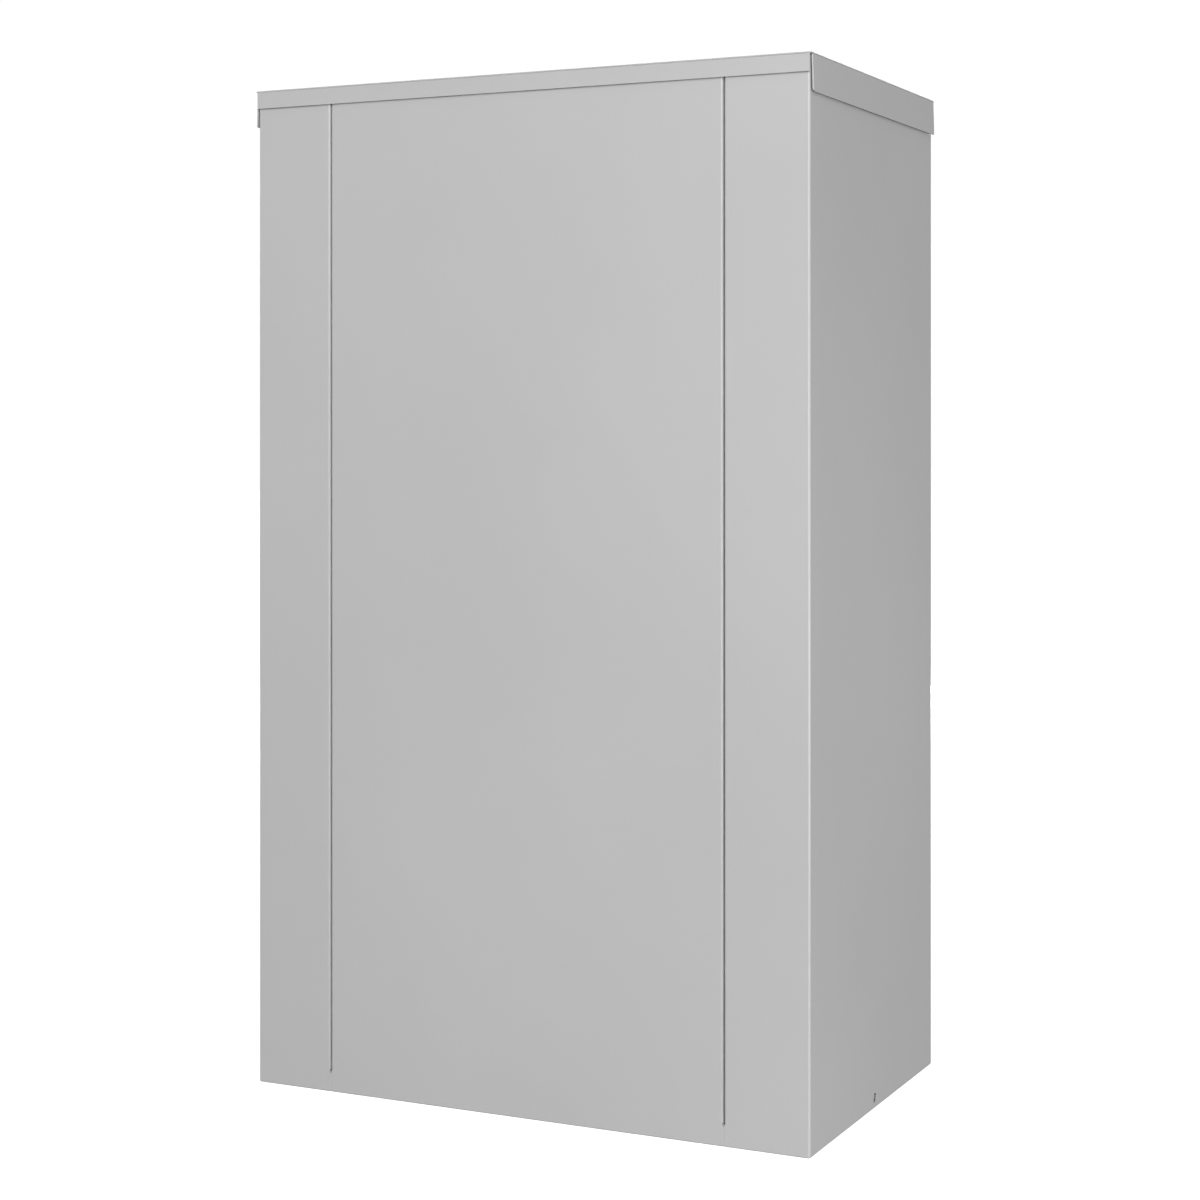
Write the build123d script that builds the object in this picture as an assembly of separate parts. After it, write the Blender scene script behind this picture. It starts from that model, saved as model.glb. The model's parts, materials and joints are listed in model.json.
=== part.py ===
"""Industrial switchboard cabinet: folded steel enclosure, inset hinged door and the switchgear inside.

Millimetres, +Z up. The origin is the centre of the base, on the surface that the cabinet stands on.
The door faces -Y, the panelled rear faces +Y.
"""
from build123d import *
import os

os.makedirs("parts", exist_ok=True)

# ---------------------------------------------------------------- driving dimensions
total_height = 1000.0          # base to the top of the lid
body_width = 595.0             # across the side panels
body_depth = 350.0             # front faces to rear face
sheet = 1.5                    # thickness of every cabinet sheet
fold_outer = 2.2               # outer radius of the folds
flange = 25.0                  # inward flanges at the base and at the top
floor_play = 0.8               # free play between the floor tray's skirt and the walls
corner_strip = 3.0             # the stiles meet the side walls this far from the front and rear faces
flange_joint = 7.5             # and their flanges meet this far from the side faces

body_top = total_height - sheet
half_width = body_width / 2
half_depth = body_depth / 2
fold_middle = fold_outer - sheet / 2   # radius of a fold at the middle of the sheet

# rear: a central panel between two stiles, joined by back-to-back returns
rear_stile = 85.0
seam_gap = 1.3
seam_return = 15.0
return_start = 20.5            # the returns start above the solid bottom edge
relief_radius = 1.5
seam_x = half_width - rear_stile
rivet_radius = 2.0
rivet_head = 1.5
rivet_inset = 8.0             # rivets behind the rear face
rivet_margin = 80.0            # the first and last rivet from the base and from the body's top
rivet_count = 6
weld_recess = 0.4

# front: narrow stiles and rails around an inset door, with a land that the gasket closes on
front_stile = 30.0
front_rail = 50.0
land_width = 14.0
land_face = -half_depth + 21.5
opening_x = half_width - front_stile
opening_low = front_rail
opening_high = total_height - front_rail

# lid: short flanges at the front and rear, deep flared flanges at the sides
lid_half_width = 300.0
lid_half_depth = 177.5
lid_side_flange = 36.0
lid_end_flange = 18.0
lid_side_flare = 1.0
lid_corner_radius = 3.0
lid_side_half_length = half_depth - 1.0
lid_end_half_length = half_width + 0.5
stud_radius = 3.0
lid_stud_length = 16.0
lid_stud_x = 285.0
lid_stud_y = 120.0

# floor: an inverted tray with a gland opening, its skirt standing on the base flanges
floor_top = 20.0
earth_hole_radius = 4.5
earth_hole_z = 10.0
floor_bolt_x = 255.0
floor_bolt_y = 162.0
floor_bolt_radius = 5.5
gland_x = 150.0
gland_y = (15.0, 125.0)
gland_overlap = 18.0
gland_plate_thickness = 2.0
plug_count = 5
plug_pitch = 54.0
plug_radius = 12.5
plug_rim = 3.0
plug_step = 4.0
gland_screw_shank = 8.0

# door
door_gap = 2.5
door_depth = 18.0
door_lip = 14.0
door_x = opening_x - door_gap
door_low = opening_low + door_gap
door_high = opening_high - door_gap
door_back = -half_depth + door_depth
gasket_inset = 2.0
gasket_width = 10.0
gasket_clear = 0.3
stiffener_x = 150.0
stiffener_sheet = 1.2
stiffener_depth = 13.5
pocket_half_width = 115.0
pocket_z = (330.0, 520.0)
pocket_back = -148.0
pocket_wall = 2.0
pocket_scoop_radius = 30.0

# hinges: three, on a vertical axis just outside the front face
hinge_x = -opening_x + door_gap / 2
knuckle_radius = 4.0
hinge_y = -half_depth - knuckle_radius - 0.3
pin_radius = 2.0
pin_clear = 0.05
leaf_length = 60.0
leaf_reach = 25.0
leaf_thickness = 2.0
door_knuckle = 23.4
knuckle_gap = 0.3
hinge_heights = (150.0, 500.0, 850.0)
leaf_start = knuckle_radius + 0.5
leaf_corner = 3.0
leaf_screw_x = 16.0
leaf_screw_z = 18.0
pin_head_radius = 3.2
pin_head = 1.5
screw_radius = 2.5
screw_hole = 2.6
screw_head_radius = 4.2
screw_head_round = 1.2

# quarter-turn locks
lock_x = 225.0
lock_heights = {"lower": 250.0, "upper": 750.0}
lock_head_radius = 14.0
lock_head = 4.0
lock_body_radius = 10.0
lock_body_length = 20.0
lock_nut_flats = 27.0
lock_nut = 5.0
barrel_radius = 6.0
barrel_step_radius = 4.5
socket_radius = 4.2
socket_pin_radius = 1.5
socket_depth = 8.0
key_wing = (3.5, 5.2)
key_wing_half = 0.9
cam_length = 38.0
cam_width = 16.0
cam_front = -151.0
cam_thickness = 3.0
cam_corner = 4.0

# mounting plate and what it carries
plate_front = 138.0
plate_thickness = 2.0
plate_x = 240.0
plate_z = (70.0, 930.0)
plate_stud_x = 190.0
plate_stud_z = (110.0, 890.0)
plate_corner = 8.0
plate_stud_radius = 4.0
plate_stud_reach = 14.0
plate_shoulder_radius = 7.0
plate_nut_flats = 13.0
plate_nut = 6.5
plate_washer_radius = 8.0
plate_washer = 1.6
rail_half_length = 200.0
rail_height = 35.0
rail_depth = 7.5
rail_wall = 1.0
rail_crest = 13.0              # half the height of the rail's hat
rail_screw_inset = 15.0
rail_slot = (15.0, 6.2)
rail_slot_pitch = 25.0
rail_slot_count = 14
rail_face = plate_front - rail_depth
rail_heights = {"upper": 400.0, "lower": 240.0}

breaker_width = 54.0
breaker_count = 4
pole_count = 3
breaker_gap = 0.4
breaker_shoulder = 44.0       # from the rail's face
breaker_nose = 60.0
breaker_half_height = 42.5
nose_half_height = 22.5
rail_pocket = (18.0, 4.5)
toggle_window = (23.0, 6.6)
toggle_axis = 6.5             # behind the nose
toggle_barrel_radius = 5.2
toggle_pivot_radius = 1.5
toggle_reach = 17.0
toggle_swing = 25.0
breaker_screw_z = 33.0
breaker_screw_radius = 3.0
wire_port = (4.0, 6.0)
main_x = 52.5
main_z = (700.0, 865.0)
main_case_front = 80.0
main_cover_front = 72.0
main_cover_inset = 20.0
main_nose_front = 62.0
main_nose = (32.0, 34.0)
main_slot = (7.5, 18.0)
main_corner = 3.0
main_terminal = (11.0, 18.0)
main_axis_y = 92.0
main_axis_z = 782.0
main_hub_radius = 9.0
main_pivot_radius = 2.0
main_lever = (6.0, 46.0, 3.5)
main_swing = 20.0
phase_pitch = 35.0
bar_width = 20.0
bar_thickness = 5.0
bar_face = 100.0
bar_z = (452.0, 712.0)
bar_hole_radius = 3.2
bar_end_holes = (10.0, 28.0)
support_heights = (500.0, 620.0)
support_half = (75.0, 12.0)
support_groove = (3.0, 10.0)
duct_x = (208.0, 238.0)
duct_depth = 60.0
duct_z = (90.0, 690.0)
duct_wall = 1.5
duct_slot_pitch = 12.5
duct_slot = 5.0
duct_slot_margin = 14.0
duct_rim = 8.0
terminal_count = 16
terminal_pitch = 8.0
terminal_gap = 0.3
terminal_shoulder = (22.0, 23.0)
terminal_nose = (38.0, 12.0)
terminal_screw_z = 8.0
terminal_screw_radius = 2.2
earth_bar_z = 130.0
earth_bar_half = 6.0
earth_bar_thickness = 8.0
earth_bars = {"neutral": (-190.0, -20.0), "earth": (20.0, 190.0)}
bar_back = plate_front - 20.0
bar_screw_count = 9
bar_screw_margin = 20.0
post_radius = 7.0
post_rib = 1.5


# ---------------------------------------------------------------- small helpers
from_start = (Align.CENTER, Align.CENTER, Align.MIN)


def block(x, y, z):
    """A box from its low and high corner on each axis."""
    middle = Pos(sum(x) / 2, sum(y) / 2, sum(z) / 2)
    return middle * Box(x[1] - x[0], y[1] - y[0], z[1] - z[0])


def rod_x(start, radius, length):
    """A cylinder that runs along +X from its start point."""
    return Pos(*start) * Rot(0, 90, 0) * Cylinder(radius, length, align=from_start)


def rod_y(start, radius, length):
    """A cylinder that runs along +Y from its start point."""
    return Pos(*start) * Rot(-90, 0, 0) * Cylinder(radius, length, align=from_start)


def rod_z(start, radius, length):
    """A cylinder that runs along +Z from its start point."""
    return Pos(*start) * Cylinder(radius, length, align=from_start)


def hexagon_y(start, across_flats, length):
    """A hexagonal prism that runs along +Y from its start point."""
    outline = RegularPolygon(radius=across_flats / 2, side_count=6, major_radius=False)
    return Pos(*start) * Rot(-90, 0, 0) * extrude(outline, amount=length)


def hexagon_z(start, across_flats, length):
    """A hexagonal prism that runs along +Z from its start point."""
    outline = RegularPolygon(radius=across_flats / 2, side_count=6, major_radius=False)
    return Pos(*start) * extrude(outline, amount=length)


def folded_plan(points, low, high, radius=fold_middle, thickness=sheet):
    """Sheet folded about vertical lines: points are the middle of the sheet seen from above."""
    section = trace(FilletPolyline(*points, radius=radius), line_width=thickness)
    return extrude(Pos(0, 0, low) * section, amount=high - low, dir=(0, 0, 1))


def folded_side(points, low, high, radius=fold_middle, thickness=sheet):
    """Sheet folded about lines along X: points are (y, z) of the middle of the sheet."""
    section = trace(FilletPolyline(*points, radius=radius), line_width=thickness)
    return extrude(Plane.YZ.offset(low) * section, amount=high - low, dir=(1, 0, 0))


def folded_front(points, low, high, radius=fold_middle, thickness=sheet):
    """Sheet folded about lines along Y: points are (x, z) of the middle of the sheet."""
    section = trace(FilletPolyline(*points, radius=radius), line_width=thickness)
    return extrude(Plane.XZ.offset(-low) * section, amount=high - low, dir=(0, 1, 0))


def body_column(low, high):
    """The cabinet's outline with its folded vertical corners, as a solid column."""
    outline = RectangleRounded(body_width, body_depth, fold_outer)
    return extrude(Pos(0, 0, low) * outline, amount=high - low)


def round_base_edges(panel):
    """Round the lower outer edge, where the base flange is folded in."""
    def is_outer(edge):
        middle = edge.center()
        reach = max(abs(middle.X) / half_width, abs(middle.Y) / half_depth)
        return middle.Z < 0.01 and reach > 0.995
    return fillet([e for e in panel.edges() if is_outer(e)], sheet)


def together(pieces):
    """Separate solids of one node."""
    solids = []
    for piece in pieces:
        solids.extend(piece.solids())
    return Compound(solids)


# ---------------------------------------------------------------- cabinet shell
def rivet_heights():
    span = body_top - 2 * rivet_margin
    return [rivet_margin + span * step / (rivet_count - 1) for step in range(rivet_count)]


def rivet_holes(side):
    start_x = side * seam_x - 6
    depth = half_depth - rivet_inset
    holes = [rod_x((start_x, depth, z), rivet_radius + 0.05, 12) for z in rivet_heights()]
    return together(holes)


def relief_hole(side):
    return rod_y((side * seam_x, half_depth - 3, return_start), relief_radius, 6)


def floor_bolt_holes(low, radius):
    holes = []
    for x in (-floor_bolt_x, floor_bolt_x):
        for y in (-floor_bolt_y, floor_bolt_y):
            holes.append(rod_z((x, y, low), radius, 4))
    return together(holes)


def earth_hole(side):
    return rod_x((side * half_width - 5, 0, earth_hole_z), earth_hole_radius, 10)


def flange_ring(low):
    """The inward flanges of one side panel, at the base or at the top."""
    stile_edge = seam_x + seam_gap / 2
    along_side = block((half_width - flange, half_width), (-half_depth, half_depth), (low, low + sheet))
    at_rear = block((stile_edge, half_width), (half_depth - flange, half_depth), (low, low + sheet))
    at_front = block((opening_x, half_width), (-half_depth, -half_depth + flange), (low, low + sheet))
    return (along_side + at_rear + at_front) & body_column(low, low + sheet)


def plain_side_wall(low, high):
    """Rear stile, side and front stile without returns."""
    middle = half_depth - sheet / 2
    side_x = half_width - sheet / 2
    stile_edge = seam_x + seam_gap / 2
    points = [(stile_edge, middle), (side_x, middle), (side_x, -middle), (opening_x, -middle)]
    return folded_plan(points, low, high)


def returned_side_wall(low, high):
    """Rear return and stile, side, front stile, front return and gasket land."""
    middle = half_depth - sheet / 2
    side_x = half_width - sheet / 2
    seam_line = seam_x + seam_gap / 2 + sheet / 2
    front_line = opening_x + sheet / 2
    land_line = land_face + sheet / 2
    points = [
        (seam_line, half_depth - seam_return),
        (seam_line, middle),
        (side_x, middle),
        (side_x, -middle),
        (front_line, -middle),
        (front_line, land_line),
        (opening_x - land_width, land_line),
    ]
    return folded_plan(points, low, high)


def land_cut(low, high):
    """Room for the land of a front rail."""
    return block((opening_x - land_width - 1, opening_x), (land_face - 1, land_face + sheet + 1), (low, high))


def right_side_sheet():
    """One folded sheet: side wall, rear stile, front stile, base flanges and top flanges."""
    panel = plain_side_wall(0, return_start)
    panel += returned_side_wall(return_start, body_top - sheet)
    panel += plain_side_wall(body_top - sheet, body_top)
    panel += flange_ring(0)
    panel += flange_ring(body_top - sheet)
    panel = round_base_edges(panel)
    panel -= land_cut(return_start - 1, opening_low)
    panel -= land_cut(opening_high, body_top - sheet)
    panel -= relief_hole(1)
    panel -= rivet_holes(1)
    panel -= floor_bolt_holes(-1, floor_bolt_radius)
    panel -= earth_hole(1)
    for y in (-lid_stud_y, lid_stud_y):
        panel -= rod_z((lid_stud_x, y, body_top - 2 * sheet), stud_radius + 0.5, 3 * sheet)
    return panel


def stile_zone(end):
    """The room of the rear (1) or front (-1) stile, with its corner fold, return and flanges."""
    def reach(depth):
        return tuple(sorted((end * depth, end * (half_depth + 1))))

    full_height = (-1, body_top + 1)
    corner = block((0, half_width + 1), reach(half_depth - corner_strip), full_height)
    inside = block((0, half_width - flange_joint), reach(half_depth - flange), full_height)
    return corner + inside


def both_sides(right):
    return together([right, mirror(right, about=Plane.YZ)])


def side_nodes():
    """The two folded sheets, each as a wall and two stiles."""
    sheet_right = right_side_sheet()
    wall = sheet_right - stile_zone(1) - stile_zone(-1)
    front = sheet_right & stile_zone(-1)
    hinge_side = mirror(front, about=Plane.YZ) - together(frame_leaf_holes())
    return {
        "left_side_panel": mirror(wall, about=Plane.YZ),
        "right_side_panel": wall,
        "rear_stiles": both_sides(sheet_right & stile_zone(1)),
        "front_stiles": together([front, hinge_side]),
    }


def rear_panel():
    edge = seam_x - seam_gap / 2
    middle = half_depth - sheet / 2
    line = edge - sheet / 2
    inner = half_depth - seam_return
    points = [(-line, inner), (-line, middle), (line, middle), (line, inner)]
    panel = folded_plan(points, return_start, body_top - sheet)
    for low, high in ((0, return_start), (body_top - sheet, body_top)):
        panel += block((-edge, edge), (half_depth - sheet, half_depth), (low, high))
    for low in (0, body_top - sheet):
        panel += block((-edge, edge), (half_depth - flange, half_depth), (low, low + sheet))
    panel = round_base_edges(panel)
    for side in (-1, 1):
        panel -= relief_hole(side)
        panel -= rivet_holes(side)
    return panel


def bottom_seam_welds():
    """Filler that closes each seam below its relief hole."""
    half = seam_gap / 2
    depth = (half_depth - sheet, half_depth - weld_recess)
    span = (sheet, return_start - relief_radius - 0.5)
    return together(block((side * seam_x - half, side * seam_x + half), depth, span) for side in (-1, 1))


def seam_rivets():
    """Rivets that join each pair of back-to-back returns."""
    grip = seam_gap / 2 + sheet
    depth = half_depth - rivet_inset
    rivets = []
    for side in (-1, 1):
        for z in rivet_heights():
            low, high = side * seam_x - grip, side * seam_x + grip
            rivet = rod_x((low - rivet_head, depth, z), 2 * rivet_radius, rivet_head)
            rivet += rod_x((low, depth, z), rivet_radius, 2 * grip)
            rivet += rod_x((high, depth, z), 2 * rivet_radius, rivet_head)
            rivets.append(rivet)
    return together(rivets)


def front_rail_sheet():
    """The lower front rail before holes: base flange, face, return and gasket land."""
    face = -half_depth + sheet / 2
    land_line = land_face + sheet / 2
    points = [
        (-half_depth + flange, sheet / 2),
        (face, sheet / 2),
        (face, front_rail - sheet / 2),
        (land_line, front_rail - sheet / 2),
        (land_line, front_rail + land_width),
    ]
    rail = folded_side(points, -opening_x, opening_x)
    land_end_y = (land_face - 1, land_face + sheet + 1)
    land_end_z = (front_rail, front_rail + land_width + 1)
    for side in (-1, 1):
        ends = sorted((side * (opening_x - land_width), side * (opening_x + 1)))
        rail -= block(ends, land_end_y, land_end_z)
    return rail


def bottom_front_rail():
    return front_rail_sheet() - floor_bolt_holes(-1, floor_bolt_radius)


def top_front_rail():
    """The same section turned over, shortened so that it ends under the lid."""
    rail = Pos(0, 0, total_height) * mirror(front_rail_sheet(), about=Plane.XY)
    under_lid = body_top - sheet
    rail -= block((-opening_x - 1, opening_x + 1), (-half_depth - 1, 0), (under_lid, total_height + 1))
    top_flange = block((-opening_x, opening_x), (-half_depth, -half_depth + flange), (under_lid, body_top))
    return rail + top_flange


# ---------------------------------------------------------------- floor
def floor_pan():
    x = half_width - sheet - floor_play
    y = half_depth - sheet - floor_play
    pan = block((-x, x), (-y, y), (sheet, floor_top))
    pan -= block((-x + sheet, x - sheet), (-y + sheet, y - sheet), (0, floor_top - sheet))
    pan -= block((-gland_x, gland_x), gland_y, (0, floor_top + 1))
    pan -= floor_bolt_holes(floor_top - 3, floor_bolt_radius + 2)
    for side in (-1, 1):
        pan -= earth_hole(side)
    for screw_x, screw_y in gland_screw_places():
        pan -= rod_z((screw_x, screw_y, floor_top - 2 * sheet), screw_hole, 3 * sheet)
    return pan


def gland_screw_places():
    inset = gland_overlap / 2
    rows = (gland_y[0] - inset, gland_y[1] + inset)
    return [(x, y) for x in (-gland_x - inset, 0, gland_x + inset) for y in rows]


def gland_outline(low, high):
    x = gland_x + gland_overlap
    return block((-x, x), (gland_y[0] - gland_overlap, gland_y[1] + gland_overlap), (low, high))


def gland_gasket():
    low = floor_top
    high = low + gland_plate_thickness
    ring = gland_outline(low, high) - block((-gland_x, gland_x), gland_y, (low - 1, high + 1))
    for x, y in gland_screw_places():
        ring -= rod_z((x, y, low - 1), screw_hole, 5)
    return ring


def plug_places():
    y = sum(gland_y) / 2
    return [((step - (plug_count - 1) / 2) * plug_pitch, y) for step in range(plug_count)]


def gland_plate():
    low = floor_top + gland_plate_thickness
    plate = gland_outline(low, low + gland_plate_thickness)
    for x, y in gland_screw_places():
        plate -= rod_z((x, y, low - 1), screw_hole, 5)
    for x, y in plug_places():
        plate -= rod_z((x, y, low - 1), plug_radius, 5)
    return plate


def gland_plate_screws():
    low = floor_top + 2 * gland_plate_thickness
    screws = []
    for x, y in gland_screw_places():
        shank = rod_z((x, y, low - gland_screw_shank), screw_radius, gland_screw_shank)
        screws.append(shank + hexagon_z((x, y, low), 8, 3.5))
    return together(screws)


def cable_entry_plugs():
    """Solid rubber blanking plugs with stepped domes, one in each gland hole."""
    low = floor_top + gland_plate_thickness
    top = low + gland_plate_thickness
    plugs = []
    for x, y in plug_places():
        plug = rod_z((x, y, low - plug_rim), plug_radius + 2, plug_rim)
        plug += rod_z((x, y, low - 1), plug_radius - 0.1, 4)
        for step in range(3):
            radius = plug_radius + plug_rim - plug_step * step
            plug += rod_z((x, y, top + plug_step * step), radius, plug_step)
        plugs.append(plug)
    return together(plugs)


# ---------------------------------------------------------------- lid
def lid():
    top_line = total_height - sheet / 2
    side_x = lid_half_width - sheet / 2
    side_low = total_height - lid_side_flange
    side_points = [
        (-side_x - lid_side_flare, side_low),
        (-side_x, top_line),
        (side_x, top_line),
        (side_x + lid_side_flare, side_low),
    ]
    sides = folded_front(side_points, -lid_side_half_length, lid_side_half_length)
    tall = 100.0
    side_face = RectangleRounded(2 * lid_side_half_length, tall, lid_corner_radius)
    side_plane = Plane.YZ.offset(-lid_half_width - 5) * Pos(0, side_low + tall / 2)
    sides &= extrude(side_plane * side_face, amount=2 * lid_half_width + 10)
    end_y = lid_half_depth - sheet / 2
    end_low = total_height - lid_end_flange
    end_points = [(-end_y, end_low), (-end_y, top_line), (end_y, top_line), (end_y, end_low)]
    ends = folded_side(end_points, -lid_end_half_length, lid_end_half_length)
    plate_y = (-lid_half_depth, lid_half_depth)
    plate = block((-lid_half_width, lid_half_width), plate_y, (body_top, total_height))
    plate = fillet(plate.edges().filter_by(Axis.Z), fold_outer)
    plate = fillet(plate.faces().sort_by(Axis.Z)[-1].edges(), sheet * 0.8)
    return plate + sides + ends


def lid_stud_places():
    return [(x, y) for x in (-lid_stud_x, lid_stud_x) for y in (-lid_stud_y, lid_stud_y)]


def lid_studs():
    low = body_top - lid_stud_length
    return together(rod_z((x, y, low), stud_radius, lid_stud_length) for x, y in lid_stud_places())


def lid_nuts():
    nuts = []
    for x, y in lid_stud_places():
        low = body_top - sheet - 6
        nut = hexagon_z((x, y, low), 10, 5) + rod_z((x, y, low + 5), 6, 1)
        nuts.append(nut - rod_z((x, y, low - 1), stud_radius + 0.05, 9))
    return together(nuts)


# ---------------------------------------------------------------- door
def door_panel():
    x = door_x
    outer = block((-x, x), (-half_depth, door_back), (door_low, door_high))
    outer = fillet(outer.edges().filter_by(Axis.Y), fold_outer)
    outer = fillet(outer.faces().sort_by(Axis.Y)[0].edges(), fold_outer - 0.4)
    inner_y = (-half_depth + sheet, door_back - sheet)
    outer -= block((-x + sheet, x - sheet), inner_y, (door_low + sheet, door_high - sheet))
    mouth_y = (door_back - 2 * sheet, door_back + 1)
    outer -= block((-x + door_lip, x - door_lip), mouth_y, (door_low + door_lip, door_high - door_lip))
    for z in lock_heights.values():
        outer -= rod_y((lock_x, -half_depth - 1, z), lock_body_radius + 0.1, 5)
    return outer - together(door_leaf_holes())


def door_stiffeners():
    """Two hat channels behind the door skin."""
    skin = -half_depth + sheet + stiffener_sheet / 2
    crown = -half_depth + sheet + stiffener_depth
    span = (door_low + 20, door_high - 20)
    half_section = [(8, crown), (12, skin), (20, skin)]
    channels = []
    for x in (-stiffener_x, stiffener_x):
        points = [(x - reach, y) for reach, y in reversed(half_section)]
        points += [(x + reach, y) for reach, y in half_section]
        channels.append(folded_plan(points, *span, radius=1.0, thickness=stiffener_sheet))
    return together(channels)


def door_gasket():
    """Foam strip on the door's lips, just clear of the land."""
    x = door_x - gasket_inset
    low, high = door_low + gasket_inset, door_high - gasket_inset
    depth = (door_back, land_face - gasket_clear)
    ring = block((-x, x), depth, (low, high))
    inner_x = x - gasket_width
    cut_depth = (depth[0] - 1, depth[1] + 1)
    return ring - block((-inner_x, inner_x), cut_depth, (low + gasket_width, high - gasket_width))


def document_pocket():
    """An open-topped plastic pocket on the inner side of the door."""
    x, z, wall = pocket_half_width, pocket_z, pocket_wall
    depth = (-half_depth + sheet, pocket_back)
    pocket = block((-x, x), depth, z)
    pocket -= block((-x + wall, x - wall), (depth[0] + wall, depth[1] - wall), (z[0] + wall, z[1] + 1))
    scoop = rod_y((0, depth[1] - wall - 1, z[1]), pocket_scoop_radius, wall + 2)
    return pocket - scoop


def leaf_screw_places(sign):
    x = hinge_x + sign * leaf_screw_x
    return [(x, z + dz) for z in hinge_heights for dz in (-leaf_screw_z, leaf_screw_z)]


def frame_leaf_holes():
    return [rod_y((x, -half_depth - 1, z), screw_hole, 4) for x, z in leaf_screw_places(-1)]


def door_leaf_holes():
    return [rod_y((x, -half_depth - 1, z), screw_hole, 4) for x, z in leaf_screw_places(1)]


def knuckle(low, high):
    return rod_z((hinge_x, hinge_y, low), knuckle_radius, high - low)


def hinge_leaf(z, sign, knuckles):
    """One leaf: a plate on the front face, carried over to the knuckles of this leaf."""
    low, high = z - leaf_length / 2, z + leaf_length / 2
    depth = (-half_depth - leaf_thickness, -half_depth)
    near, far = hinge_x + sign * leaf_start, hinge_x + sign * leaf_reach
    leaf = block(sorted((near, far)), depth, (low, high))
    leaf = fillet(leaf.edges().filter_by(Axis.Y).sort_by(Axis.X, reverse=sign > 0)[:2], leaf_corner)
    for span in knuckles:
        bridge = sorted((hinge_x + sign * 0.5, near))
        leaf += block(bridge, (depth[0], depth[1] - 0.3), span)
        leaf += knuckle(*span)
    leaf -= rod_z((hinge_x, hinge_y, low - 1), pin_radius + pin_clear, leaf_length + 2)
    for dz in (-leaf_screw_z, leaf_screw_z):
        leaf -= rod_y((hinge_x + sign * leaf_screw_x, depth[0] - 1, z + dz), screw_hole, 4)
    return leaf


def hinge_frame_leaves():
    leaves = []
    half = door_knuckle / 2 + knuckle_gap
    for z in hinge_heights:
        knuckles = [(z - leaf_length / 2, z - half), (z + half, z + leaf_length / 2)]
        leaves.append(hinge_leaf(z, -1, knuckles))
    return together(leaves)


def hinge_door_leaves():
    half = door_knuckle / 2
    return together(hinge_leaf(z, 1, [(z - half, z + half)]) for z in hinge_heights)


def hinge_pins():
    """Pins with a flat head at each end, held by the frame leaves."""
    pins = []
    for z in hinge_heights:
        low, high = z - leaf_length / 2, z + leaf_length / 2
        pin = rod_z((hinge_x, hinge_y, low), pin_radius, leaf_length)
        pin += rod_z((hinge_x, hinge_y, low - pin_head), pin_head_radius, pin_head)
        pin += rod_z((hinge_x, hinge_y, high), pin_head_radius, pin_head)
        pins.append(pin)
    return together(pins)


def round_head(x, seat, z, height):
    """A screw's domed head that faces the door side, on a seat."""
    head = rod_y((x, seat - height, z), screw_head_radius, height)
    return fillet(head.faces().sort_by(Axis.Y)[0].edges(), screw_head_round)


def leaf_screws(sign):
    """Screws with a cross recess."""
    screws = []
    seat = -half_depth - leaf_thickness
    recess = (seat - 3, seat - 1)
    for x, z in leaf_screw_places(sign):
        head = round_head(x, seat, z, 2)
        head -= block((x - 2.5, x + 2.5), recess, (z - 0.5, z + 0.5))
        head -= block((x - 0.5, x + 0.5), recess, (z - 2.5, z + 2.5))
        screws.append(head + rod_y((x, seat, z), screw_radius, 10))
    return together(screws)


# ---------------------------------------------------------------- locks
def lock_housings():
    housings = []
    for z in lock_heights.values():
        head = rod_y((lock_x, -half_depth - lock_head, z), lock_head_radius, lock_head)
        head = fillet(head.faces().sort_by(Axis.Y)[0].edges(), 1.5)
        housing = head + rod_y((lock_x, -half_depth, z), lock_body_radius, lock_body_length)
        housing -= rod_y((lock_x, -half_depth - 5, z), barrel_radius + pin_clear, 30)
        housings.append(housing)
    return together(housings)


def lock_nuts():
    nuts = []
    for z in lock_heights.values():
        low = -half_depth + sheet
        nut = hexagon_y((lock_x, low, z), lock_nut_flats, lock_nut)
        nuts.append(nut - rod_y((lock_x, low - 1, z), lock_body_radius + 0.05, lock_nut + 2))
    return together(nuts)


def lock_barrel(z):
    """The turning insert: a double-bit key socket at the front, a stepped end for the cam."""
    front = -half_depth - 3
    barrel = rod_y((lock_x, front, z), barrel_radius, cam_front - front)
    barrel += rod_y((lock_x, cam_front, z), barrel_step_radius, cam_thickness + 1.5)
    socket = rod_y((lock_x, front - 1, z), socket_radius, socket_depth + 1)
    socket -= rod_y((lock_x, front - 1, z), socket_pin_radius, socket_depth + 1)
    barrel -= socket
    for sign in (-1, 1):
        wing_z = sorted((z + sign * key_wing[0], z + sign * key_wing[1]))
        wing_x = (lock_x - key_wing_half, lock_x + key_wing_half)
        barrel -= block(wing_x, (front - 1, front + socket_depth), wing_z)
    return barrel


def lock_cam(z):
    """The cam hangs straight down when the lock is open."""
    depth = (cam_front, cam_front + cam_thickness)
    cam = block((lock_x - cam_width / 2, lock_x + cam_width / 2), depth, (z - cam_length + 4, z))
    cam = fillet(cam.edges().filter_by(Axis.Y).sort_by(Axis.Z)[:2], cam_corner)
    cam += rod_y((lock_x, cam_front, z), cam_width / 2, cam_thickness)
    return cam - rod_y((lock_x, cam_front - 1, z), barrel_step_radius, cam_thickness + 2)


# ---------------------------------------------------------------- mounting plate
def plate_stud_places():
    return [(x, z) for x in (-plate_stud_x, plate_stud_x) for z in plate_stud_z]


def rail_screw_places():
    x = rail_half_length - rail_screw_inset
    return [(side * x, z) for side in (-1, 1) for z in rail_heights.values()]


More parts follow.
